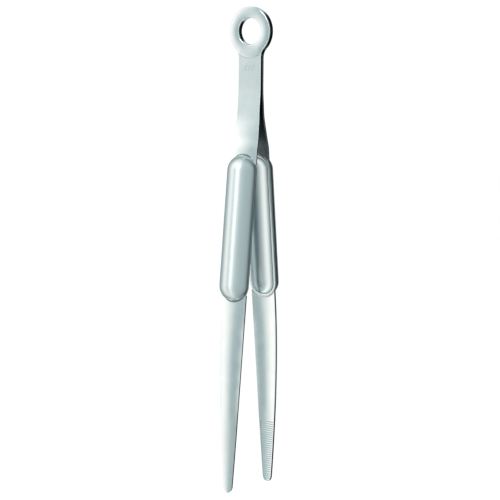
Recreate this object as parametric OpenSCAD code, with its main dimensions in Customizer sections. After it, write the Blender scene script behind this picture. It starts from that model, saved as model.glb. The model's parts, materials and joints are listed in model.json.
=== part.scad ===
// Spring loaded kitchen tongs: two sprung arms of sheet steel on one hanging ring.
// Origin at the centre of the ring's bore, +Z up, tips down.
// The arms open along X (front arm at -X) and their width runs along Y.

/* [Overall] */
// Length from the top of the ring to the tips
overall_len = 310; // [280:1:340]
// Lean of each grip away from the middle plane, degrees
lean = 6.1; // [5.5:0.1:6.8]
// Lean of each jaw at its tip, degrees
tip_lean = 1; // [0:0.1:2]

/* [Hanging ring] */
// Outer diameter of the ring
ring_d = 31; // [28:0.5:33]
// Diameter of the bore that hangs on a hook or rail
ring_hole_d = 17; // [14:0.5:20]
// Thickness of the ring
ring_t = 4.5; // [4.2:0.1:5.5]
// Radius of the ring's rounded rims
ring_round = 0.9; // [0.4:0.1:1.2]
// Radius of the arc where the ring's thick shoulder ends
shoulder_r = 17; // [16.8:0.1:18.5]
// Radius of the hollow fillets between ring and neck
shoulder_fillet = 8; // [6:0.5:12]

/* [Neck] */
// Width of the neck
neck_w = 17; // [14:0.5:19]
// Thickness of the ring's tang between the two leaves
tang_t = 1.1; // [0.8:0.1:1.6]
// Margin of the tang inside the neck's edges
tang_margin = 1; // [0.5:0.5:2.5]
// Distance from the ring's centre to where the leaves part
part_drop = 35; // [32:0.5:40]
// Diameter of the two plug welds that join leaves and tang
plug_d = 4; // [3:0.5:6]
// Distance between the plug welds
plug_pitch = 8; // [7:0.5:10]

/* [Spring leaves] */
// Thickness of a leaf
leaf_t = 1.2; // [0.8:0.1:1.5]
// Free length of a leaf, from the parting to the straight grip line
leaf_run = 40.5; // [34:0.5:48]
// Sideways travel of a leaf along its free length
leaf_rise = 5.2; // [4.4:0.1:6.2]
// Width of a leaf where it meets the grip
leaf_end_w = 19.5; // [17.5:0.1:19.5]
// How far a leaf's joggle keeps it in before it steps out to its grip
leaf_joggle = 0.7; // [0:0.1:1]
// Straight length of a leaf above its seam with the grip
leaf_straight = 2.5; // [1:0.5:6]

/* [Grips] */
// Length of a grip
grip_len = 93.5; // [78:0.5:112]
// Width of a grip
grip_w = 20; // [19.9:0.1:24]
// Wall of the outer grip shell
shell_t = 0.9; // [0.7:0.1:1]
// Thickness of the pressed inner pan
pan_t = 1; // [0.8:0.1:1]
// Width of the flat flange around the pan's trough
flange_w = 2; // [2:0.1:3.5]
// Depth of the pan's trough
trough_depth = 3.6; // [2.5:0.1:6]
// Width of the seams around the grip's ends
seam_w = 0.7; // [0.5:0.1:1]
// Gap between a seam and the leaf that flexes
flex_gap = 0.05; // [0.03:0.01:0.1]

/* [Jaws] */
// Width of a jaw where it leaves the grip
jaw_root_w = 17.9; // [15:0.1:18.5]
// Width of a jaw at the start of its rounded tip
jaw_tip_w = 6; // [4.5:0.1:8]
// Thickness of a jaw
jaw_t = 1.5; // [1.2:0.1:2]
// Crosswise arch of a jaw's middle
jaw_arch = 0.9; // [0:0.1:1.2]
// Length of the serrated stretch at the tip
teeth_len = 40; // [20:1:50]
// Pitch of the serrations
teeth_pitch = 1.45; // [1.2:0.05:2]
// Depth of the serrations
teeth_depth = 0.4; // [0.2:0.05:0.5]
// Plain margin beside the serrations
teeth_margin = 0.8; // [0.5:0.1:1.2]

/* [Hidden] */
$fn = 96;

big = 400;
polished = "#cfd6d8";
satin = "#a9b2b5";
welded = "#bcc3c4";

// Neck: both leaves lie on the tang
leaf_x = (tang_t + leaf_t) / 2;
plug_z = -(shoulder_r + part_drop) / 2;
fillet_y = neck_w / 2 + shoulder_fillet;
fillet_z = -sqrt(pow(ring_d / 2 + shoulder_fillet, 2) - fillet_y * fillet_y);

// Grip frame: its origin is the centre of the grip's upper round end, on the middle
// plane of the sheet; z runs up the grip and x away from the other arm
grip_r = grip_w / 2;
grip_run = grip_len - grip_w;
bend_x = leaf_x + leaf_rise;
bend_z = -part_drop - leaf_run;
top_run = leaf_straight + seam_w + grip_r;
grip_x = bend_x + top_run * sin(lean);
grip_z = bend_z - top_run * cos(lean);
trough_r = grip_r - flange_w;
foot_x = pan_t / 2;

// Jaw path: straight out of the grip, then curving in to its tip
root_x = grip_x + grip_run * sin(lean);
root_z = grip_z - grip_run * cos(lean);
straight_z = root_z - (grip_r + seam_w + 1) * cos(lean);
straight_x = root_x + (root_z - straight_z) * tan(lean);
tip_z = ring_d / 2 - overall_len;
curve_run = straight_z - tip_z;
curve_power = 2;
taper_power = 1.7;
flare_start = 0.35;
tip_r = jaw_tip_w / 2;
teeth_n = floor(teeth_len / teeth_pitch);

// 0 below a, 1 above b, smooth between
function ease(a, b, v) = let(t = max(0, min(1, (v - a) / (b - a)))) t * t * (3 - 2 * t);

// Middle line of the rear leaf: x at a height z
function leaf_u(z) = max(0, min(1, (-part_drop - z) / leaf_run));
function leaf_hollow(z) = leaf_joggle * ease(0.25, 0.55, leaf_u(z)) * (1 - ease(0.78, 1, leaf_u(z)));
function leaf_mid(z) = let(u = leaf_u(z))
    leaf_x + leaf_rise * u * u * (3 - 2 * u) + leaf_run * tan(lean) * u * u * (u - 1)
    + max(0, bend_z - z) * tan(lean) - leaf_hollow(z);
function leaf_slope(z) = (leaf_mid(z - 0.05) - leaf_mid(z + 0.05)) / 0.1;
function leaf_point(z, side) = let(a = atan(leaf_slope(z)))
    [leaf_mid(z) + side * leaf_t / 2 * cos(a), z + side * leaf_t / 2 * sin(a)];

// Middle line of the rear jaw, its half width and its crosswise arch
function jaw_u(z) = max(0, (straight_z - z) / curve_run);
function jaw_mid(z) = let(u = jaw_u(z), k = curve_power + 1)
    z > straight_z ? root_x + (root_z - z) * tan(lean) : straight_x + curve_run
    * (tan(tip_lean) * u + (tan(lean) - tan(tip_lean)) * (1 - pow(1 - u, k)) / k);
function jaw_slope(z) = let(u = jaw_u(z))
    tan(tip_lean) + (tan(lean) - tan(tip_lean)) * pow(1 - u, curve_power);
function jaw_width(z) = let(u = jaw_u(z), d = z - tip_z)
    d < tip_r ? sqrt(max(0, tip_r * tip_r - pow(tip_r - d, 2)))
    : jaw_root_w / 2 - (jaw_root_w - jaw_tip_w) / 2 * pow(u, taper_power);
function jaw_rise(z) = let(u = jaw_u(z)) jaw_arch * ease(0, 0.2, u) * (1 - ease(0.35, 0.64, u));

module rear_or_front(front) {
    mirror([front ? 1 : 0, 0, 0]) children();
}

module in_grip_frame() {
    translate([grip_x, 0, grip_z]) rotate([0, -lean, 0]) children();
}

// A sheet outline drawn in the Y-Z plane, extruded along X
module along_x(length) {
    rotate([90, 0, 90]) linear_extrude(height = length, center = true) children();
}

// Ring outline with its flared shoulder and the neck below
module neck_outline(length) {
    difference() {
        polygon([[0, 0], [-fillet_y, fillet_z], [fillet_y, fillet_z]]);
        for (side = [-1, 1]) translate([side * fillet_y, fillet_z]) circle(r = shoulder_fillet);
    }
    translate([-neck_w / 2, fillet_z - length]) square([neck_w, length]);
}

module ring_section() {
    w = (ring_d - ring_hole_d) / 2;
    translate([ring_hole_d / 2, -ring_t / 2]) {
        translate([ring_round, 0]) square([w - 2 * ring_round, ring_t]);
        translate([0, ring_round]) square([w, ring_t - 2 * ring_round]);
        for (x = [ring_round, w - ring_round])
            for (y = [ring_round, ring_t - ring_round])
                translate([x, y]) circle(r = ring_round, $fn = 32);
    }
}

module plug_holes(length) {
    for (side = [-1, 1]) translate([0, 0, plug_z + side * plug_pitch / 2])
        rotate([0, 90, 0]) cylinder(d = plug_d, h = length, center = true);
}

// Ring, shoulder and the thin tang that the leaves are welded to
module hanging_ring() {
    tang_w = neck_w - 2 * tang_margin;
    color(polished) difference() {
        union() {
            rotate([0, 90, 0]) rotate_extrude() ring_section();
            intersection() {
                along_x(ring_t) neck_outline(1);
                rotate([0, 90, 0]) cylinder(r = shoulder_r, h = ring_t, center = true);
                translate([-ring_t / 2, -big / 2, -big]) cube([ring_t, big, big]);
            }
            translate([-tang_t / 2, -tang_w / 2, -part_drop])
                cube([tang_t, tang_w, part_drop - ring_hole_d / 2 - 2]);
        }
        rotate([0, 90, 0]) cylinder(d = ring_hole_d, h = ring_t + 2, center = true);
        plug_holes(tang_t + 1);
    }
}

module neck_plug_welds() {
    color(welded) plug_holes(tang_t);
}

// Half width of a leaf along its flare
function leaf_w(u) = neck_w / 2 + (leaf_end_w - neck_w) / 2 * ease(0, 1, u);

// Bent strip that is the spring: clamped at the neck, welded to the grip at its end
module spring_leaf() {
    top = -shoulder_r * 0.7;
    end = grip_z - grip_r * 0.2;
    heights = [for (i = [0 : 30]) -part_drop - i / 30 * leaf_run];
    line = concat([top], heights, [end]);
    flare = part_drop + flare_start * leaf_run;
    widths = [for (i = [-1 : 12]) [leaf_w(i / 12), -flare - (1 - flare_start) * leaf_run * i / 12]];
    difference() {
        intersection() {
            rotate([90, 0, 0]) linear_extrude(height = big, center = true) polygon(concat(
                [for (z = line) leaf_point(z, 1)],
                [for (i = [len(line) - 1 : -1 : 0]) leaf_point(line[i], -1)]));
            union() {
                along_x(big) neck_outline(flare + fillet_z);
                along_x(big) polygon(concat(widths,
                    [[leaf_end_w / 2, end - 1], [-leaf_end_w / 2, end - 1]],
                    [for (i = [len(widths) - 1 : -1 : 0]) [-widths[i][0], widths[i][1]]]));
            }
        }
        rotate([0, 90, 0]) cylinder(r = shoulder_r, h = big, center = true);
        in_grip_frame() rotate([0, 90, 0])
            cylinder(r = grip_r + seam_w + flex_gap, h = 60, center = true);
    }
}

module front_spring_leaf() {
    color(polished) rear_or_front(true) spring_leaf();
}

module rear_spring_leaf() {
    color(polished) rear_or_front(false) spring_leaf();
}

// A straight bar with ball ends, halved on the plane where it meets the sheet
module half_capsule(radius) {
    intersection() {
        union() {
            translate([0, 0, -grip_run]) cylinder(r = radius, h = grip_run);
            sphere(r = radius);
            translate([0, 0, -grip_run]) sphere(r = radius);
        }
        translate([0, -big / 2, -big]) cube([big, big, 2 * big]);
    }
}

module capsule_plate(radius, thickness) {
    for (z = [0, -grip_run]) translate([0, 0, z])
        rotate([0, 90, 0]) cylinder(r = radius, h = thickness, center = true);
    translate([-thickness / 2, -radius, -grip_run]) cube([thickness, 2 * radius, grip_run]);
}

// Inner pan: a flat flange with a long round-ended trough pressed away from the palm
module grip_pan() {
    in_grip_frame() difference() {
        union() {
            capsule_plate(grip_r, pan_t);
            translate([-pan_t / 2, 0, 0]) scale([(trough_depth + pan_t) / (trough_r + pan_t), 1, 1])
                half_capsule(trough_r + pan_t);
        }
        translate([-pan_t / 2, 0, 0]) scale([trough_depth / trough_r, 1, 1]) half_capsule(trough_r);
    }
}

module front_grip_pan() {
    color(polished) rear_or_front(true) grip_pan();
}

module rear_grip_pan() {
    color(polished) rear_or_front(false) grip_pan();
}

// Outer half-round shell, its foot on the pan's flange
module grip_shell() {
    in_grip_frame() translate([foot_x, 0, 0]) difference() {
        half_capsule(grip_r);
        half_capsule(grip_r - shell_t);
    }
}

module front_grip_shell() {
    color(satin) rear_or_front(true) grip_shell();
}

module rear_grip_shell() {
    color(satin) rear_or_front(false) grip_shell();
}

// Weld seams round both ends of the pan, as wide as the strips they hold
module seam(width) {
    intersection() {
        rotate([0, 90, 0]) difference() {
            cylinder(r = grip_r + seam_w, h = pan_t, center = true);
            cylinder(r = grip_r, h = pan_t + 1, center = true);
        }
        translate([-pan_t, -width / 2, 0]) cube([2 * pan_t, width, grip_w]);
    }
}

module grip_seams() {
    in_grip_frame() {
        seam(leaf_end_w - 0.5);
        translate([0, 0, -grip_run]) mirror([0, 0, 1]) seam(jaw_root_w - 0.5);
    }
}

module front_grip_seams() {
    color(welded) rear_or_front(true) grip_seams();
}

module rear_grip_seams() {
    color(welded) rear_or_front(false) grip_seams();
}

// One cross-section of a jaw: outer row then inner row
function jaw_ring(z, half) = let(a = atan(jaw_slope(z)), m = jaw_mid(z), rise = jaw_rise(z))
    concat(
        [for (i = [0 : 8]) let(y = i / 4 - 1, n = jaw_t / 2 + rise * (1 - y * y))
            [m + n * cos(a), y * half, z + n * sin(a)]],
        [for (i = [8 : -1 : 0]) let(y = i / 4 - 1, n = -jaw_t / 2 + rise * (1 - y * y))
            [m + n * cos(a), y * half, z + n * sin(a)]]);

module jaw_blank() {
    start = root_z;
    body = [for (i = [0 : 40]) start + (tip_z + tip_r - start) * i / 40];
    tip = [for (i = [1 : 6]) tip_z + tip_r * (1 - sin(i * 13))];
    rows = concat(body, tip);
    rings = [for (z = rows) jaw_ring(z, jaw_width(z))];
    m = len(rings[0]);
    n = len(rings);
    sides = [for (r = [0 : n - 2]) for (i = [0 : m - 1]) let(j = (i + 1) % m)
        each [[r * m + i, r * m + j, (r + 1) * m + i], [r * m + j, (r + 1) * m + j, (r + 1) * m + i]]];
    caps = [for (i = [0 : m / 2 - 2]) let(j = m - 1 - i, b = (n - 1) * m)
        each [[j, i + 1, i], [j, j - 1, i + 1], [b + i, b + i + 1, b + j], [b + i + 1, b + j - 1, b + j]]];
    polyhedron(points = [for (r = rings) each r], faces = concat(sides, caps), convexity = 4);
}

// Tapered blade with a rounded tip and cross-cut serrations on its inner face
module jaw() {
    difference() {
        jaw_blank();
        in_grip_frame() translate([0, 0, -grip_run]) rotate([0, 90, 0])
            cylinder(r = grip_r + seam_w, h = 60, center = true);
        for (i = [0 : teeth_n - 1]) {
            z = tip_z + 2 + i * teeth_pitch;
            a = atan(jaw_slope(z));
            half = jaw_width(z) - teeth_margin;
            translate([jaw_mid(z) - jaw_t / 2 * cos(a), 0, z - jaw_t / 2 * sin(a)])
                rotate([0, 45 - a, 0])
                cube([teeth_depth * sqrt(2), 2 * half, teeth_depth * sqrt(2)], center = true);
        }
    }
}

module front_jaw() {
    color(polished) rear_or_front(true) jaw();
}

module rear_jaw() {
    color(polished) rear_or_front(false) jaw();
}

hanging_ring();
neck_plug_welds();
front_spring_leaf();
rear_spring_leaf();
front_grip_pan();
rear_grip_pan();
front_grip_shell();
rear_grip_shell();
front_grip_seams();
rear_grip_seams();
front_jaw();
rear_jaw();
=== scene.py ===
import json
import math

import bmesh
import bpy
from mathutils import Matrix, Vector

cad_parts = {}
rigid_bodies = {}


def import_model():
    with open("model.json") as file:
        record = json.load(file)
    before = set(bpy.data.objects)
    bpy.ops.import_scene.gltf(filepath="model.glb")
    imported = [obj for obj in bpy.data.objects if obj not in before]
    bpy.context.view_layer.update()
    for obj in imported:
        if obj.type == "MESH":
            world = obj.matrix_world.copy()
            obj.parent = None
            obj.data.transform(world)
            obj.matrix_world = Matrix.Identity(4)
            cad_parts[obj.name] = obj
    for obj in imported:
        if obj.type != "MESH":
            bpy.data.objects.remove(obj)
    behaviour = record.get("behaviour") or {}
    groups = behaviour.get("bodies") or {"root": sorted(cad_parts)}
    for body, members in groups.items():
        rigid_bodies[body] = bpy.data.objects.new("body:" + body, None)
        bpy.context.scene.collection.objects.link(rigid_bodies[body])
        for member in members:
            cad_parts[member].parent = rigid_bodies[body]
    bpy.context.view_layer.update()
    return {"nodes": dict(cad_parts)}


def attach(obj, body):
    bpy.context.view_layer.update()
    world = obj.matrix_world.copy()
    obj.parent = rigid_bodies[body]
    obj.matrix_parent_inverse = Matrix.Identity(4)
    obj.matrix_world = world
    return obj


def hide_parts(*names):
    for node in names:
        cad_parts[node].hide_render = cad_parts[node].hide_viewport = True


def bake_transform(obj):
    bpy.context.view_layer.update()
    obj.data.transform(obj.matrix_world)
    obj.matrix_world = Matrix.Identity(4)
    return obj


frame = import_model()


# ---------------------------------------------------------------- hanging ring
# The ring and its flared shoulder are one thick piece of stainless steel, blanked out and then ground
# and buffed until its rims are round. A thin tang runs down from it between the two spring leaves, which
# are plug welded to it.
MM = 0.001
ring_r = 15.5 * MM
ring_bore_r = 8.5 * MM
ring_t = 4.5 * MM
ring_rim = 0.55 * MM
ring_crown = 0.2 * MM
ring_edge = ring_t / 2 - ring_crown
shoulder_r = 17 * MM
fillet_r = 8 * MM
neck_half = 8.5 * MM
fillet_y = neck_half + fillet_r
fillet_z = -math.sqrt((ring_r + fillet_r) ** 2 - fillet_y**2)
tang_t = 1.1 * MM
tang_half = 7.5 * MM
part_z = -35 * MM
tang_top = -10.5 * MM
tang_corner = 2 * MM


def pick(kind, wanted):
    """In edit mode, selects only the vertices, edges or faces that wanted says yes to."""
    bpy.ops.mesh.select_mode(type=kind)
    bpy.ops.mesh.select_all(action="DESELECT")
    mesh = bpy.context.edit_object.data
    work = bmesh.from_edit_mesh(mesh)
    for part in {"VERT": work.verts, "EDGE": work.edges, "FACE": work.faces}[kind]:
        if wanted(part):
            part.select_set(True)
    bmesh.update_edit_mesh(mesh)


def new_piece(name):
    """Names the primitive just added, puts its place into its mesh and opens it in edit mode."""
    piece = bpy.context.object
    piece.name = name
    piece.data.name = name
    bpy.ops.object.transform_apply(location=True, rotation=True, scale=True)
    bpy.ops.object.mode_set(mode="EDIT")
    return piece


def only(piece):
    """Selects one object and nothing else."""
    if bpy.context.mode != "OBJECT":
        bpy.ops.object.mode_set(mode="OBJECT")
    bpy.ops.object.select_all(action="DESELECT")
    piece.select_set(True)
    bpy.context.view_layer.objects.active = piece


def modify(piece, kind, **settings):
    """Adds one modifier with its settings and applies it."""
    only(piece)
    modifier = piece.modifiers.new(kind, kind)
    for setting, value in settings.items():
        setattr(modifier, setting, value)
    bpy.ops.object.modifier_apply(modifier=modifier.name)


def machine(piece, tool, operation="DIFFERENCE"):
    """Cuts the piece with a tool, or joins the tool to it, and throws the tool away."""
    modify(piece, "BOOLEAN", object=tool, operation=operation, solver="EXACT")
    bpy.data.objects.remove(tool)


def dress(piece):
    """Merges doubles, turns all faces outwards and shades smooth over all but the real edges."""
    only(piece)
    bpy.ops.object.mode_set(mode="EDIT")
    bpy.ops.mesh.select_all(action="SELECT")
    bpy.ops.mesh.remove_doubles(threshold=0.003 * MM)
    bpy.ops.mesh.normals_make_consistent(inside=False)
    bpy.ops.object.mode_set(mode="OBJECT")
    bpy.ops.object.shade_smooth_by_angle(angle=math.radians(12))


bpy.ops.object.select_all(action="DESELECT")
bpy.ops.mesh.primitive_circle_add(
    vertices=144, radius=ring_r, location=(ring_edge, 0, 0), rotation=(0, math.pi / 2, 0)
)
ring = new_piece("ring")
pick("VERT", lambda v: v.co.z < -ring_r * math.cos(math.radians(44)))
bpy.ops.mesh.delete(type="VERT")
fillet_from = math.atan2(-ring_r * math.sqrt(0.5) - fillet_z, ring_r * math.sqrt(0.5) - fillet_y)
reach = math.hypot(fillet_y, fillet_z)
turn = math.acos((reach**2 + fillet_r**2 - shoulder_r**2) / (2 * reach * fillet_r))
fillet_to = math.pi + math.atan2(fillet_z, fillet_y) + turn
end_y = fillet_y + fillet_r * math.cos(fillet_to)
end_z = fillet_z + fillet_r * math.sin(fillet_to)
for side in (1, -1):
    pick("VERT", lambda v: v.co.z < -ring_r * 0.7 and v.co.y * side > 0)
    bpy.ops.mesh.spin(
        steps=8,
        angle=(fillet_from - fillet_to) * side,
        center=(ring_edge, side * fillet_y, fillet_z),
        axis=(1, 0, 0),
    )
pick("VERT", lambda v: (v.co.yz - Vector((end_y, end_z))).length < 0.1 * MM)
bpy.ops.mesh.spin(
    steps=20, angle=2 * math.atan(end_y / -end_z), center=(ring_edge, 0, 0), axis=(1, 0, 0)
)
bpy.ops.mesh.select_all(action="SELECT")
bpy.ops.mesh.remove_doubles(threshold=0.05 * MM)
outline_points = len(bmesh.from_edit_mesh(ring.data).verts)
bpy.ops.mesh.primitive_circle_add(
    vertices=outline_points, radius=ring_bore_r, location=(ring_edge, 0, 0), rotation=(0, math.pi / 2, 0)
)
bpy.ops.mesh.select_all(action="SELECT")
bpy.ops.mesh.bridge_edge_loops(number_cuts=4, interpolation="LINEAR")
# the face is crowned in two lifts: all but its rims, then its middle once more
pick("VERT", lambda v: not v.is_boundary)
bpy.ops.transform.translate(value=(ring_crown * 0.62, 0, 0))
pick("VERT", lambda v: not any(n.is_boundary for e in v.link_edges for n in e.verts))
bpy.ops.transform.translate(value=(ring_crown * 0.38, 0, 0))
pick("EDGE", lambda e: e.is_boundary)
bpy.ops.mesh.extrude_edges_move(TRANSFORM_OT_translate={"value": (-ring_edge, 0, 0)})
modify(ring, "MIRROR", use_axis=(True, False, False), merge_threshold=0.01 * MM)
bpy.ops.object.mode_set(mode="EDIT")
bpy.ops.mesh.select_all(action="SELECT")
bpy.ops.mesh.normals_make_consistent(inside=False)
pick("EDGE", lambda e: e.calc_face_angle(0) > 0.9)
bpy.ops.mesh.bevel(offset=ring_rim, segments=9, affect="EDGES")
only(ring)
bpy.ops.mesh.primitive_cube_add(size=1, location=(0, 0, (part_z + tang_top) / 2))
tang = bpy.context.object
tang.scale = (tang_t, 2 * tang_half, tang_top - part_z)
new_piece("tang")
pick("EDGE", lambda e: e.calc_length() < 2 * tang_t and e.verts[0].co.z < (part_z + tang_top) / 2)
bpy.ops.mesh.bevel(offset=tang_corner, segments=4, affect="EDGES")
machine(ring, tang, "UNION")
dress(ring)


def linear(colour):
    """An sRGB hex colour as the linear RGBA that a shader socket takes."""
    parts = [int(colour[i : i + 2], 16) / 255 for i in (1, 3, 5)]
    return [c / 12.92 if c < 0.04045 else ((c + 0.055) / 1.055) ** 2.4 for c in parts] + [1]


def add(tree, kind, inputs=(), **settings):
    """Adds a node with its settings. Each input is a value or the socket that it is linked from."""
    made = tree.nodes.new(kind)
    for setting, value in settings.items():
        setattr(made, setting, value)
    for socket, value in dict(inputs).items():
        if isinstance(value, bpy.types.NodeSocket):
            tree.links.new(value, made.inputs[socket])
        else:
            made.inputs[socket].default_value = value
    return made


def new_material(name):
    """An empty node material: its tree, its Principled shader and object coordinates."""
    material = bpy.data.materials.new(name)
    material.use_nodes = True
    tree = material.node_tree
    tree.nodes.clear()
    shader = add(tree, "ShaderNodeBsdfPrincipled")
    add(tree, "ShaderNodeOutputMaterial", {"Surface": shader.outputs["BSDF"]})
    return material, tree, shader, add(tree, "ShaderNodeTexCoord").outputs["Object"]


def dress_metal(tree, shader, colour, rough, bump):
    """Makes the shader a bare metal and links its colour, its roughness and its fine relief."""
    shader.inputs["Metallic"].default_value = 1
    tree.links.new(colour.outputs["Result"], shader.inputs["Base Color"])
    tree.links.new(rough.outputs[0], shader.inputs["Roughness"])
    tree.links.new(bump.outputs[0], shader.inputs["Normal"])


# Polished stainless steel, 18/10 sheet buffed on a cloth wheel: a soft mirror with a cool tint, a faint
# haze where it has been handled, and buffing hairlines that run along the arms.
def buffed_steel(name, tilt):
    material, tree, shader, place = new_material(name)
    along = add(tree, "ShaderNodeMapping", {"Vector": place, "Rotation": (0, tilt, 0)})
    # hairlines 0.25 mm apart and about 12 mm long
    size = add(tree, "ShaderNodeMapping", {"Vector": along.outputs[0], "Scale": (4000, 4000, 80)})
    hairline = add(tree, "ShaderNodeTexNoise", {"Vector": size.outputs[0], "Scale": 1, "Detail": 3})
    # haze in patches about 9 mm across
    haze = add(tree, "ShaderNodeTexNoise", {"Vector": place, "Scale": 110, "Detail": 4, "Roughness": 0.6})
    tint = add(tree, "ShaderNodeMapRange", {"Value": haze.outputs[0], "From Min": 0.3, "From Max": 0.7})
    colour = add(
        tree,
        "ShaderNodeMix",
        {"Factor": tint.outputs[0], "A": linear("#bfd0d3"), "B": linear("#c8d6d8")},
        data_type="RGBA",
    )
    rough = add(
        tree,
        "ShaderNodeMapRange",
        {"Value": haze.outputs[0], "From Min": 0.3, "From Max": 0.7, "To Min": 0.12, "To Max": 0.17},
    )
    bump = add(
        tree,
        "ShaderNodeBump",
        {"Height": hairline.outputs[0], "Strength": 0.12, "Distance": 0.00002},
    )
    dress_metal(tree, shader, colour, rough, bump)
    return material


def finish_piece(piece, material, body, slot, *nodes):
    """Gives a piece its material if it has none, parents it to its body when that is a name and otherwise
    bakes its place into its mesh, and hides the CAD nodes it stands for. The slot is not used.
    """
    if not piece.data.materials:
        piece.data.materials.append(material)
    if isinstance(body, str):
        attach(piece, body)
    else:
        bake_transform(piece)
    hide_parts(*nodes)


neck_steel = buffed_steel("buffed_steel_neck", 0)
finish_piece(ring, neck_steel, "neck", "polished_steel", "hanging_ring")


# ---------------------------------------------------------------- spring leaves
# Each leaf is a strip of hard rolled stainless spring steel, blanked wider towards its grip, pressed to
# its bend and slightly hollow crosswise where it meets the grip. Both are plug welded to the tang under
# the ring's shoulder, and they are all that bends when the tongs close.
lean = math.radians(6.1)
leaf_t = 1.2 * MM
leaf_x = (tang_t + leaf_t) / 2
leaf_run = 40.5 * MM
leaf_rise = 5.2 * MM
leaf_end_half = 9.75 * MM
leaf_crown = 0.55 * MM
leaf_joggle = 0.7 * MM
leaf_edge = 0.16 * MM
leaf_gap = 0.05 * MM
bend_x = leaf_x + leaf_rise
bend_z = part_z - leaf_run
grip_r = 10 * MM
grip_run = 73.5 * MM
seam_w = 0.7 * MM
top_run = 2.5 * MM + seam_w + grip_r
grip_x = bend_x + top_run * math.sin(lean)
grip_z = bend_z - top_run * math.cos(lean)


def ease(a, b, v):
    """0 at a, 1 at b and smooth between."""
    t = max(0, min(1, (v - a) / (b - a)))
    return t * t * (3 - 2 * t)


def leaf_line(z):
    """The leaf's middle line: how far out it is at a height. It bows back a little below its middle."""
    u = max(0, min(1, (part_z - z) / leaf_run))
    swing = leaf_run * math.tan(lean) * u * u * (u - 1)
    hollow = leaf_joggle * ease(0.25, 0.55, u) * ease(1, 0.78, u)
    straight = max(0, bend_z - z) * math.tan(lean)
    return leaf_x + leaf_rise * u * u * (3 - 2 * u) + swing + straight - hollow


def leaf_half(z):
    """Half of the leaf's width at a height: the shoulder's fillet, the neck, then the flare."""
    if z > fillet_z:
        return fillet_y - math.sqrt(fillet_r**2 - (z - fillet_z) ** 2)
    return neck_half + (leaf_end_half - neck_half) * ease(part_z - 0.35 * leaf_run, bend_z, z)


def pressed_strip(name, rows, thickness):
    """Extrudes an arc of edges down through rows of (x, z, half width, crown) and thickens it."""
    x, z, half, crown = rows[0]
    arc = math.radians(15)
    radius = half / math.sin(arc)
    bpy.ops.object.select_all(action="DESELECT")
    bpy.ops.mesh.primitive_circle_add(
        vertices=144, radius=radius, location=(x - radius * math.cos(arc), 0, z)
    )
    strip = new_piece(name)
    pick("VERT", lambda v: v.co.x < x - 0.001 * MM)
    bpy.ops.mesh.delete(type="VERT")
    bpy.ops.mesh.select_all(action="SELECT")
    sagitta = radius * (1 - math.cos(arc))
    bpy.ops.transform.resize(value=(crown / sagitta, 1, 1), center_override=(x, 0, z))
    for row in rows[1:]:
        bpy.ops.mesh.extrude_region_move(
            TRANSFORM_OT_translate={"value": (row[0] - x, 0, row[1] - z)}
        )
        bpy.ops.transform.resize(
            value=(row[3] / crown, row[2] / half, 1), center_override=(row[0], 0, row[1])
        )
        x, z, half, crown = row
    bpy.ops.mesh.select_all(action="SELECT")
    bpy.ops.mesh.normals_make_consistent(inside=False)
    modify(strip, "SOLIDIFY", thickness=thickness, offset=0, use_even_offset=True)
    return strip


def round_tool(radius, place, tilt):
    """A round cutter, longer than any sheet is thick, whose axis lies across the sheet."""
    turned = (0, math.pi / 2 + tilt, 0)
    bpy.ops.mesh.primitive_cylinder_add(
        vertices=128, radius=radius, depth=40 * MM, location=place, rotation=turned
    )
    return bpy.context.object


def soften(piece, width, segments=3):
    """Rounds the piece's sharp edges."""
    modify(
        piece,
        "BEVEL",
        width=width,
        segments=segments,
        limit_method="ANGLE",
        angle_limit=math.radians(50),
        use_clamp_overlap=True,
    )


# close rows beside the shoulder's fillet, wider ones along the neck, then even ones to the grip
heights = [-13 * MM - i * 0.5 * MM for i in range(8)]
heights += [-17 * MM - i * 2 * MM for i in range(9)]
heights += [part_z - i * 1.35 * MM for i in range(42)]
crown_from = -48 * MM
least_crown = 0.01 * MM
rows = [
    (leaf_line(z), z, leaf_half(z), least_crown + leaf_crown * ease(crown_from, bend_z, z))
    for z in heights
]
rear_leaf = pressed_strip("rear_leaf", rows, leaf_t)
soften(rear_leaf, leaf_edge)
machine(rear_leaf, round_tool(shoulder_r, (0, 0, 0), 0))
machine(rear_leaf, round_tool(grip_r + seam_w + leaf_gap, (grip_x, 0, grip_z), -lean))
dress(rear_leaf)


def front_copy(piece, name):
    """The front arm's own copy of a rear arm piece, mirrored to the other side."""
    only(piece)
    bpy.ops.object.duplicate()
    copy = bpy.context.object
    copy.name = name
    copy.data.name = name
    copy.scale = (-1, 1, 1)
    bpy.ops.object.transform_apply(location=True, rotation=True, scale=True)
    dress(copy)
    return copy


front_leaf = front_copy(rear_leaf, "front_leaf")

# A small stamped mark on the front leaf: three slanting strokes, 0.15 mm deep.
mark_z = -23.4 * MM
mark_pitch = 2.6 * MM
mark_depth = 0.15 * MM
mark_w = 0.8 * MM
mark_len = 3.4 * MM
for stroke in (-1, 0, 1):
    bpy.ops.mesh.primitive_cube_add(
        size=1,
        location=(-leaf_x - leaf_t / 2, stroke * mark_pitch, mark_z),
        rotation=(math.radians(24), 0, 0),
        scale=(2 * mark_depth, mark_w, mark_len),
    )
    machine(front_leaf, bpy.context.object)
dress(front_leaf)

# Rolled stainless strip with faint rolling lines on the leaves' inner faces. Its dark grey colour is
# painted
# shade: these faces look into the dark gap between the leaves.
rolled_steel_painted_shade, tree, shader, place = new_material("rolled_strip_painted_shade")
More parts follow.
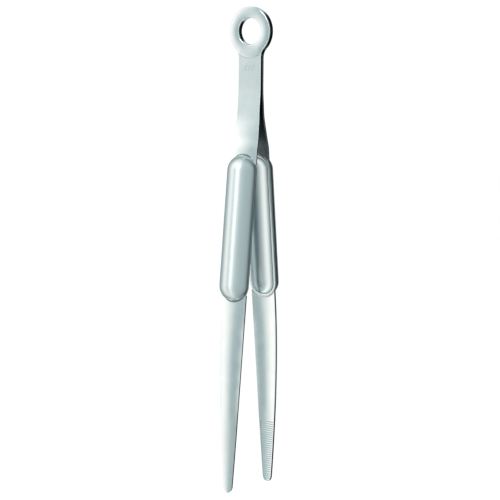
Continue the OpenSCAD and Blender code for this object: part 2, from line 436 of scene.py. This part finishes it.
# rolling lines 0.5 mm apart and about 10 mm long
size = add(tree, "ShaderNodeMapping", {"Vector": place, "Scale": (2000, 2000, 100)})
line = add(tree, "ShaderNodeTexNoise", {"Vector": size.outputs[0], "Scale": 1, "Detail": 3})
# these dark greys are painted shade between the leaves, not the steel's own colour
colour = add(
    tree,
    "ShaderNodeMix",
    {"Factor": line.outputs[0], "A": linear("#5f696c"), "B": linear("#747f82")},
    data_type="RGBA",
)
rough = add(tree, "ShaderNodeMapRange", {"Value": line.outputs[0], "To Min": 0.24, "To Max": 0.36})
bump = add(
    tree, "ShaderNodeBump", {"Height": line.outputs[0], "Strength": 0.15, "Distance": 0.00002}
)
dress_metal(tree, shader, colour, rough, bump)

# the faces that look at the other arm get the rolled strip, darkened with painted shade between the
# leaves
for leaf, side in ((rear_leaf, 1), (front_leaf, -1)):
    leaf.data.materials.append(neck_steel)
    leaf.data.materials.append(rolled_steel_painted_shade)
    only(leaf)
    bpy.ops.object.mode_set(mode="EDIT")
    pick("FACE", lambda f: f.normal.x * side < -0.6)
    leaf.active_material_index = 1
    bpy.ops.object.material_slot_assign()
    bpy.ops.object.mode_set(mode="OBJECT")
finish_piece(
    rear_leaf,
    neck_steel,
    ("neck", "rear_arm", (leaf_x, 0, part_z), (bend_x, 0, bend_z)),
    "polished_steel",
    "rear_spring_leaf",
)
finish_piece(
    front_leaf,
    neck_steel,
    ("neck", "front_arm", (-leaf_x, 0, part_z), (-bend_x, 0, bend_z)),
    "polished_steel",
    "front_spring_leaf",
)


# ---------------------------------------------------------------- plug welds
# Two plugs of filler metal join both leaves to the tang through its holes. They are ground flush and
# the leaves cover them, so the CAD part's own shape is kept.
def ground_weld(name):
    """Filler metal ground flush: duller and slightly warmer than the sheet, with short grinding marks."""
    material, tree, shader, place = new_material(name)
    # grinding marks 0.4 mm apart
    marks = add(tree, "ShaderNodeTexNoise", {"Vector": place, "Scale": 2500, "Detail": 2})
    # straw tint from the heat, in patches about 4 mm long
    heat = add(tree, "ShaderNodeTexNoise", {"Vector": place, "Scale": 250, "Detail": 2})
    colour = add(
        tree,
        "ShaderNodeMix",
        {"Factor": heat.outputs[0], "A": linear("#c2cacb"), "B": linear("#cfcfc8")},
        data_type="RGBA",
    )
    rough = add(
        tree, "ShaderNodeMapRange", {"Value": marks.outputs[0], "To Min": 0.24, "To Max": 0.4}
    )
    bump = add(
        tree, "ShaderNodeBump", {"Height": marks.outputs[0], "Strength": 0.25, "Distance": 0.00003}
    )
    dress_metal(tree, shader, colour, rough, bump)
    return material


seam_steel = ground_weld("ground_weld_steel")
plugs = frame["nodes"]["neck_plug_welds"]
plugs.data.materials.clear()
plugs.data.materials.append(seam_steel)


# ---------------------------------------------------------------- grip pans
# The pan closes the grip's inner side: 1 mm sheet drawn into a long shallow round-ended trough, with a
# flat flange all round that carries the outer shell. It is brushed finer than the shell.
pan_t = 1 * MM
trough_r = 8 * MM
trough_depth = 3.6 * MM
trough_lip = 1.15 * MM
pan_edge = 0.18 * MM


def long_bowl(name, radius, out):
    """Half of a ball-ended bar lying along the grip, hollow and open towards the other arm."""
    bpy.ops.object.select_all(action="DESELECT")
    bpy.ops.mesh.primitive_uv_sphere_add(
        segments=72, ring_count=36, radius=radius, rotation=(0, math.pi / 2, 0)
    )
    bowl = new_piece(name)
    pick("FACE", lambda f: f.calc_center_median().z < 0)
    bpy.ops.mesh.extrude_region_move(TRANSFORM_OT_translate={"value": (0, 0, -grip_run)})
    bpy.ops.mesh.select_all(action="SELECT")
    bpy.ops.mesh.bisect(plane_co=(0, 0, 0), plane_no=(1, 0, 0), clear_inner=True)
    bpy.ops.mesh.select_all(action="SELECT")
    bpy.ops.mesh.remove_doubles(threshold=0.003 * MM)
    bpy.ops.transform.translate(value=(out, 0, 0))
    return bowl


def set_in_grip(piece):
    """Leans a finished piece out with its arm and puts it at the grip's place."""
    only(piece)
    piece.location = (grip_x, 0, grip_z)
    piece.rotation_euler = (0, -lean, 0)
    bpy.ops.object.transform_apply(location=True, rotation=True, scale=True)


rear_pan = long_bowl("rear_pan", trough_r, -pan_t / 2)
bpy.ops.mesh.select_all(action="SELECT")
shallow = trough_depth / trough_r
bpy.ops.transform.resize(value=(shallow, 1, 1), center_override=(-pan_t / 2, 0, 0))
pick("EDGE", lambda e: e.is_boundary)
bpy.ops.mesh.extrude_edges_move(TRANSFORM_OT_translate={"value": (0, 0, 0)})
flange = grip_r / trough_r
for end_z, sign in ((0, 1), (-grip_run, -1)):
    pick("VERT", lambda v: v.is_boundary and (v.co.z - end_z) * sign > -0.01 * MM)
    bpy.ops.transform.resize(value=(1, flange, flange), center_override=(-pan_t / 2, 0, end_z))
pick("EDGE", lambda e: not e.is_boundary and e.calc_face_angle(0) > 1)
bpy.ops.mesh.bevel(offset=trough_lip, segments=9, affect="EDGES")
bpy.ops.mesh.select_all(action="SELECT")
bpy.ops.mesh.normals_make_consistent(inside=False)
# the sheet is thickened away from the other arm, so its drawn side has to face that arm
faces = bmesh.from_edit_mesh(rear_pan.data).faces
flat = max(faces, key=lambda f: abs(f.normal.x) * f.calc_area())
if flat.normal.x > 0:
    bpy.ops.mesh.flip_normals()
modify(rear_pan, "SOLIDIFY", thickness=pan_t, offset=-1, use_even_offset=False)
soften(rear_pan, pan_edge, 2)
dress(rear_pan)
set_in_grip(rear_pan)
front_pan = front_copy(rear_pan, "front_pan")


# Satin stainless steel: sheet brushed along the grip, a wide soft highlight broken by long fine lines.
def satin_steel(name, tilt, finest, coarsest):
    material, tree, shader, place = new_material(name)
    along = add(tree, "ShaderNodeMapping", {"Vector": place, "Rotation": (0, tilt, 0)})
    # brush lines: real grit leaves them 0.1 mm apart, drawn 0.35 mm apart so that they show
    size = add(tree, "ShaderNodeMapping", {"Vector": along.outputs[0], "Scale": (2900, 2900, 60)})
    line = add(tree, "ShaderNodeTexNoise", {"Vector": size.outputs[0], "Scale": 1, "Detail": 4})
    # broader bands where the brush pressed harder, about 2 mm wide
    width = add(tree, "ShaderNodeMapping", {"Vector": along.outputs[0], "Scale": (500, 500, 14)})
    band = add(tree, "ShaderNodeTexNoise", {"Vector": width.outputs[0], "Scale": 1, "Detail": 2})
    colour = add(
        tree,
        "ShaderNodeMix",
        {"Factor": line.outputs[0], "A": linear("#bccdd0"), "B": linear("#cddbdd")},
        data_type="RGBA",
    )
    rough = add(
        tree, "ShaderNodeMapRange", {"Value": band.outputs[0], "To Min": finest, "To Max": coarsest}
    )
    bump = add(
        tree, "ShaderNodeBump", {"Height": line.outputs[0], "Strength": 0.3, "Distance": 0.00003}
    )
    dress_metal(tree, shader, colour, rough, bump)
    return material


rear_steel = buffed_steel("buffed_steel_rear", lean)
front_steel = buffed_steel("buffed_steel_front", -lean)
rear_fine = satin_steel("fine_satin_steel_rear", lean, 0.26, 0.32)
front_fine = satin_steel("fine_satin_steel_front", -lean, 0.26, 0.32)
finish_piece(rear_pan, rear_fine, "rear_arm", "polished_steel", "rear_grip_pan")
finish_piece(front_pan, front_fine, "front_arm", "polished_steel", "front_grip_pan")


# ---------------------------------------------------------------- grip shells
# The palm side of each grip is a half-round shell of thin sheet, deep drawn with ball ends and welded
# foot to flange on its pan. It is brushed to a satin along its length, so that a wet hand holds it.
shell_t = 0.9 * MM
shell_edge = 0.2 * MM

rear_shell = long_bowl("rear_shell", grip_r, pan_t / 2)
bpy.ops.mesh.select_all(action="SELECT")
bpy.ops.mesh.normals_make_consistent(inside=False)
# the sheet is thickened inwards, so its outer side has to face out
crest = max(bmesh.from_edit_mesh(rear_shell.data).faces, key=lambda f: f.calc_center_median().x)
if crest.normal.x < 0:
    bpy.ops.mesh.flip_normals()
modify(rear_shell, "SOLIDIFY", thickness=shell_t, offset=-1, use_even_offset=True)
soften(rear_shell, shell_edge, 2)
dress(rear_shell)
set_in_grip(rear_shell)
front_shell = front_copy(rear_shell, "front_shell")
rear_satin = satin_steel("satin_steel_rear", lean, 0.32, 0.4)
front_satin = satin_steel("satin_steel_front", -lean, 0.32, 0.4)
finish_piece(rear_shell, rear_satin, "rear_arm", "satin_steel", "rear_grip_shell")
finish_piece(front_shell, front_satin, "front_arm", "satin_steel", "front_grip_shell")


# ---------------------------------------------------------------- grip seams
# A fine bead of weld runs round each end of the pan and holds the leaf above and the jaw below. The
# beads are dressed by hand, so they are low and rounded.
jaw_root_half = 8.95 * MM
bead_r = 0.35 * MM
bead_half = 0.62 * MM
bead_inset = 0.25 * MM


def bead(name, half):
    """A rounded bead along the arc that a strip of this half width meets, at the grip's upper end."""
    arc_r = grip_r + seam_w / 2
    sweep = math.asin((half - bead_inset) / arc_r)
    bpy.ops.object.select_all(action="DESELECT")
    bpy.ops.mesh.primitive_circle_add(vertices=32, radius=bead_r)
    bpy.context.object.location = (0, 0, arc_r)
    bpy.context.object.rotation_euler = (math.pi / 2, 0, 0)
    weld = new_piece(name)
    bpy.ops.mesh.select_all(action="SELECT")
    bpy.ops.transform.resize(value=(bead_half / bead_r, 1, 1))
    bpy.ops.transform.rotate(value=-sweep, orient_axis="X", center_override=(0, 0, 0))
    bpy.ops.mesh.spin(steps=40, angle=2 * sweep, center=(0, 0, 0), axis=(1, 0, 0))
    pick("EDGE", lambda e: e.is_boundary)
    bpy.ops.mesh.fill_holes(sides=0)
    bpy.ops.object.mode_set(mode="OBJECT")
    return weld


rear_seams = bead("rear_seams", leaf_end_half)
lower_bead = bead("lower_bead", jaw_root_half)
lower_bead.scale = (1, 1, -1)
lower_bead.location = (0, 0, -grip_run)
only(lower_bead)
bpy.ops.object.transform_apply(location=True, rotation=True, scale=True)
rear_seams.select_set(True)
bpy.context.view_layer.objects.active = rear_seams
bpy.ops.object.join()
dress(rear_seams)
set_in_grip(rear_seams)
front_seams = front_copy(rear_seams, "front_seams")
finish_piece(rear_seams, seam_steel, "rear_arm", "seam_steel", "rear_grip_seams")
finish_piece(front_seams, seam_steel, "front_arm", "seam_steel", "front_grip_seams")


# ---------------------------------------------------------------- jaws
# Each jaw is 1.5 mm sheet, arched crosswise for stiffness, tapering to a round tip and bowed inwards so
# that the tips meet flat. Cross-cut serrations are milled into the inner face near the tip.
jaw_t = 1.5 * MM
jaw_tip_half = 3 * MM
jaw_crown = 0.9 * MM
tip_lean = math.radians(1)
root_x = grip_x + grip_run * math.sin(lean)
root_z = grip_z - grip_run * math.cos(lean)
straight_z = root_z - (grip_r + seam_w + 1 * MM) * math.cos(lean)
straight_x = root_x + (root_z - straight_z) * math.tan(lean)
overall_len = 310 * MM
tip_z = ring_r - overall_len
curve_run = straight_z - tip_z
tooth_pitch = 1.45 * MM
tooth_depth = 0.4 * MM
tooth_side = 0.4 * MM
first_tooth = 2 * MM
teeth = 27
jaw_edge = 0.08 * MM
tip_left = 0.5 * MM


def jaw_share(z):
    """How far down its curve a height of the jaw is, from 0 to 1."""
    return max(0, (straight_z - z) / curve_run)


def jaw_lean(z):
    """The tangent of the jaw's lean at a height."""
    return math.tan(tip_lean) + (math.tan(lean) - math.tan(tip_lean)) * (1 - jaw_share(z)) ** 2


def jaw_line(z):
    """The jaw's middle line: how far out it is at a height."""
    u = jaw_share(z)
    if u == 0:
        return root_x + (root_z - z) * math.tan(lean)
    bow = (math.tan(lean) - math.tan(tip_lean)) * (1 - (1 - u) ** 3) / 3
    return straight_x + curve_run * (math.tan(tip_lean) * u + bow)


def jaw_half(z):
    """Half of the jaw's width at a height, with its round tip."""
    if z - tip_z < jaw_tip_half:
        return math.sqrt(jaw_tip_half**2 - (jaw_tip_half - z + tip_z) ** 2)
    return jaw_root_half - (jaw_root_half - jaw_tip_half) * jaw_share(z) ** 1.7


def jaw_rise(z):
    """How far the jaw's middle stands out of its edges at a height."""
    u = jaw_share(z)
    flatter = 0.25 * ease(0.15, 0, u) + 0.4 * ease(0.5, 0.7, u)
    return jaw_crown * jaw_half(z) / jaw_root_half * (1 - flatter)


# even rows from inside the grip to where the tip's round starts, then one row per 9 degrees of it
first_z = root_z - 3 * MM
heights = [first_z - (first_z - tip_z - jaw_tip_half) * i / 64 for i in range(65)]
heights += [tip_z + jaw_tip_half * (1 - math.sin(math.radians(9 * i))) for i in range(1, 10)]
rows = [(jaw_line(z), z, jaw_half(z), jaw_rise(z)) for z in heights]
rear_jaw = pressed_strip("rear_jaw_blade", rows, jaw_t)
# the edges are broken down to the last of the tip, whose rows are too close together for it
bpy.ops.object.mode_set(mode="EDIT")
pick("VERT", lambda v: v.co.z < tip_z + tip_left)
bpy.ops.mesh.hide()
bpy.ops.mesh.select_mode(type="EDGE")
bpy.ops.mesh.edges_select_sharp(sharpness=math.radians(50))
bpy.ops.mesh.bevel(offset=jaw_edge, segments=3, clamp_overlap=True)
bpy.ops.mesh.reveal(select=False)
bpy.ops.object.mode_set(mode="OBJECT")
machine(rear_jaw, round_tool(grip_r + seam_w, (root_x, 0, root_z), -lean))
# a square bar on edge cuts each tooth's groove, and all of them cut in one go
bpy.ops.object.select_all(action="DESELECT")
bar = tooth_depth * math.sqrt(2)
for tooth in range(teeth):
    z = tip_z + first_tooth + tooth * tooth_pitch
    tilt = math.atan(jaw_lean(z))
    face = jaw_line(z) + jaw_rise(z) * 0.6 - jaw_t / 2 * math.cos(tilt)
    bpy.ops.mesh.primitive_cube_add(
        size=1,
        location=(face, tooth_side, z - jaw_t / 2 * math.sin(tilt)),
        rotation=(0, math.radians(45) - tilt, 0),
        scale=(bar, 2 * jaw_half(z) - tooth_side, bar),
    )
    bpy.context.object.name = "cutter_tooth"
cutters = [o for o in bpy.context.scene.objects if o.name.startswith("cutter_tooth")]
for cutter in cutters:
    cutter.select_set(True)
bpy.ops.object.join()
machine(rear_jaw, bpy.context.object)
dress(rear_jaw)
front_jaw = front_copy(rear_jaw, "front_jaw_blade")
finish_piece(rear_jaw, rear_steel, "rear_arm", "polished_steel", "rear_jaw")
finish_piece(front_jaw, front_steel, "front_arm", "polished_steel", "front_jaw")


# ---------------------------------------------------------------- studio
# A plain pale floor under the hanging tongs, a white surround, a tent whose light and dark parts give the
# polished steel its edges, one soft lamp, and the camera.
middle_z = -0.14
floor_z = -0.42

# Matt white studio paper.
white_floor, _, shader, _ = new_material("white_floor")
shader.inputs["Base Color"].default_value = linear("#fcfcfc")
shader.inputs["Roughness"].default_value = 0.9
bpy.ops.object.select_all(action="DESELECT")
bpy.ops.mesh.primitive_circle_add(vertices=64, radius=6, fill_type="NGON", location=(0, 0, floor_z))
floor = bpy.context.object
floor.name = "floor"
floor.visible_glossy = False
floor.data.materials.append(white_floor)

world = bpy.data.worlds.new("white_surround")
bpy.context.scene.world = world
world.use_nodes = True
world.node_tree.nodes["Background"].inputs["Color"].default_value = linear("#ffffff")
world.node_tree.nodes["Background"].inputs["Strength"].default_value = 1.06

# Lit tent cloth. Only reflections see this dome: it is brightest to the left of the tongs, grey round the
# camera and black to the right, as white, grey and black cards would be.
bpy.ops.object.select_all(action="DESELECT")
bpy.ops.mesh.primitive_uv_sphere_add(segments=48, ring_count=24, radius=4, location=(0, 0, middle_z))
tent = bpy.context.object
tent.name = "tent"
bpy.ops.object.shade_smooth()
tent_cloth = bpy.data.materials.new("tent_cloth")
tent_cloth.use_nodes = True
tree = tent_cloth.node_tree
tree.nodes.clear()
place = add(tree, "ShaderNodeTexCoord").outputs["Object"]
round_about = add(tree, "ShaderNodeTexGradient", {"Vector": place}, gradient_type="RADIAL")
# how bright the cloth is in each direction round the tongs, in degrees from +X towards +Y
stops = [
    (-180, 1.2), (-166, 0.8), (-134, 0.7), (-108, 0.66), (-90, 0.66), (-74, 0.66), (-62, 0.55),
    (-52, 0.05), (-45, 0.01), (-22, 0.01), (-8, 0.01), (1, 0.12), (10, 0.6), (22, 0.8), (34, 0.5),
    (45, 0.34), (62, 0.38), (85, 0.5), (100, 0.75), (112, 1.0), (119, 1.35), (127, 1.58), (133, 1.56),
    (139, 1.34), (146, 0.96), (150, 0.74), (156, 0.66), (164, 0.66), (168, 0.9), (171, 2.5), (178, 2.5),
]
grey_level = 0.66
glow_low = 3
glow_high = 3.5
ramp = add(tree, "ShaderNodeValToRGB", {"Fac": round_about.outputs["Fac"]})
band = ramp.color_ramp
band.interpolation = "B_SPLINE"
band.elements.remove(band.elements[1])
for azimuth, level in stops:
    stop = band.elements[0] if azimuth == -180 else band.elements.new(azimuth / 360 + 0.5)
    # cool where it is dark, a little warm where it is brightest
    red = min(1.15, 0.93 + 0.27 * (level - grey_level))
    blue = max(0.94, 1 - 0.07 * (level - grey_level))
    share = level / glow_low
    stop.color = (share * red, share, share * blue, 1)
height = add(tree, "ShaderNodeSeparateXYZ", {"Vector": place})
glow = add(
    tree,
    "ShaderNodeMapRange",
    {
        "Value": height.outputs["Z"],
        "From Min": -0.3,
        "From Max": 1.4,
        "To Min": glow_low,
        "To Max": glow_high,
    },
)
emit = add(tree, "ShaderNodeEmission", {"Color": ramp.outputs["Color"], "Strength": glow.outputs[0]})
add(tree, "ShaderNodeOutputMaterial", {"Surface": emit.outputs[0]})
tent.data.materials.append(tent_cloth)
tent.visible_camera = False
tent.visible_diffuse = False
tent.visible_shadow = False


def direction(azimuth, elevation):
    """A unit vector from angles in degrees, round from +X towards +Y and up from the horizontal."""
    a, e = math.radians(azimuth), math.radians(elevation)
    return Vector((math.cos(e) * math.cos(a), math.cos(e) * math.sin(a), math.sin(e)))


to_lamp = direction(172, 32)
bpy.ops.object.light_add(type="AREA", location=Vector((0, 0, middle_z)) + to_lamp * 1.2)
softbox = bpy.context.object
softbox.name = "key_softbox"
softbox.data.shape = "RECTANGLE"
softbox.data.size = 0.26
softbox.data.size_y = 0.5
softbox.data.energy = 2.4
softbox.rotation_euler = (-to_lamp).to_track_quat("-Z", "Y").to_euler()
softbox.visible_camera = False

look = direction(34.5, -5.4)
distance = 1.332
roll = math.radians(0.46)
bpy.ops.object.camera_add(location=Vector((0.0001, -0.0002, middle_z)) - look * distance)
camera = bpy.context.object
camera.rotation_euler = look.to_track_quat("-Z", "Y").to_euler()
camera.rotation_euler.rotate_axis("Z", roll)
camera.data.lens = 149.1
camera.data.sensor_width = 36
camera.data.clip_start = 0.01
bpy.context.scene.camera = camera
bpy.context.scene.view_settings.view_transform = "Standard"
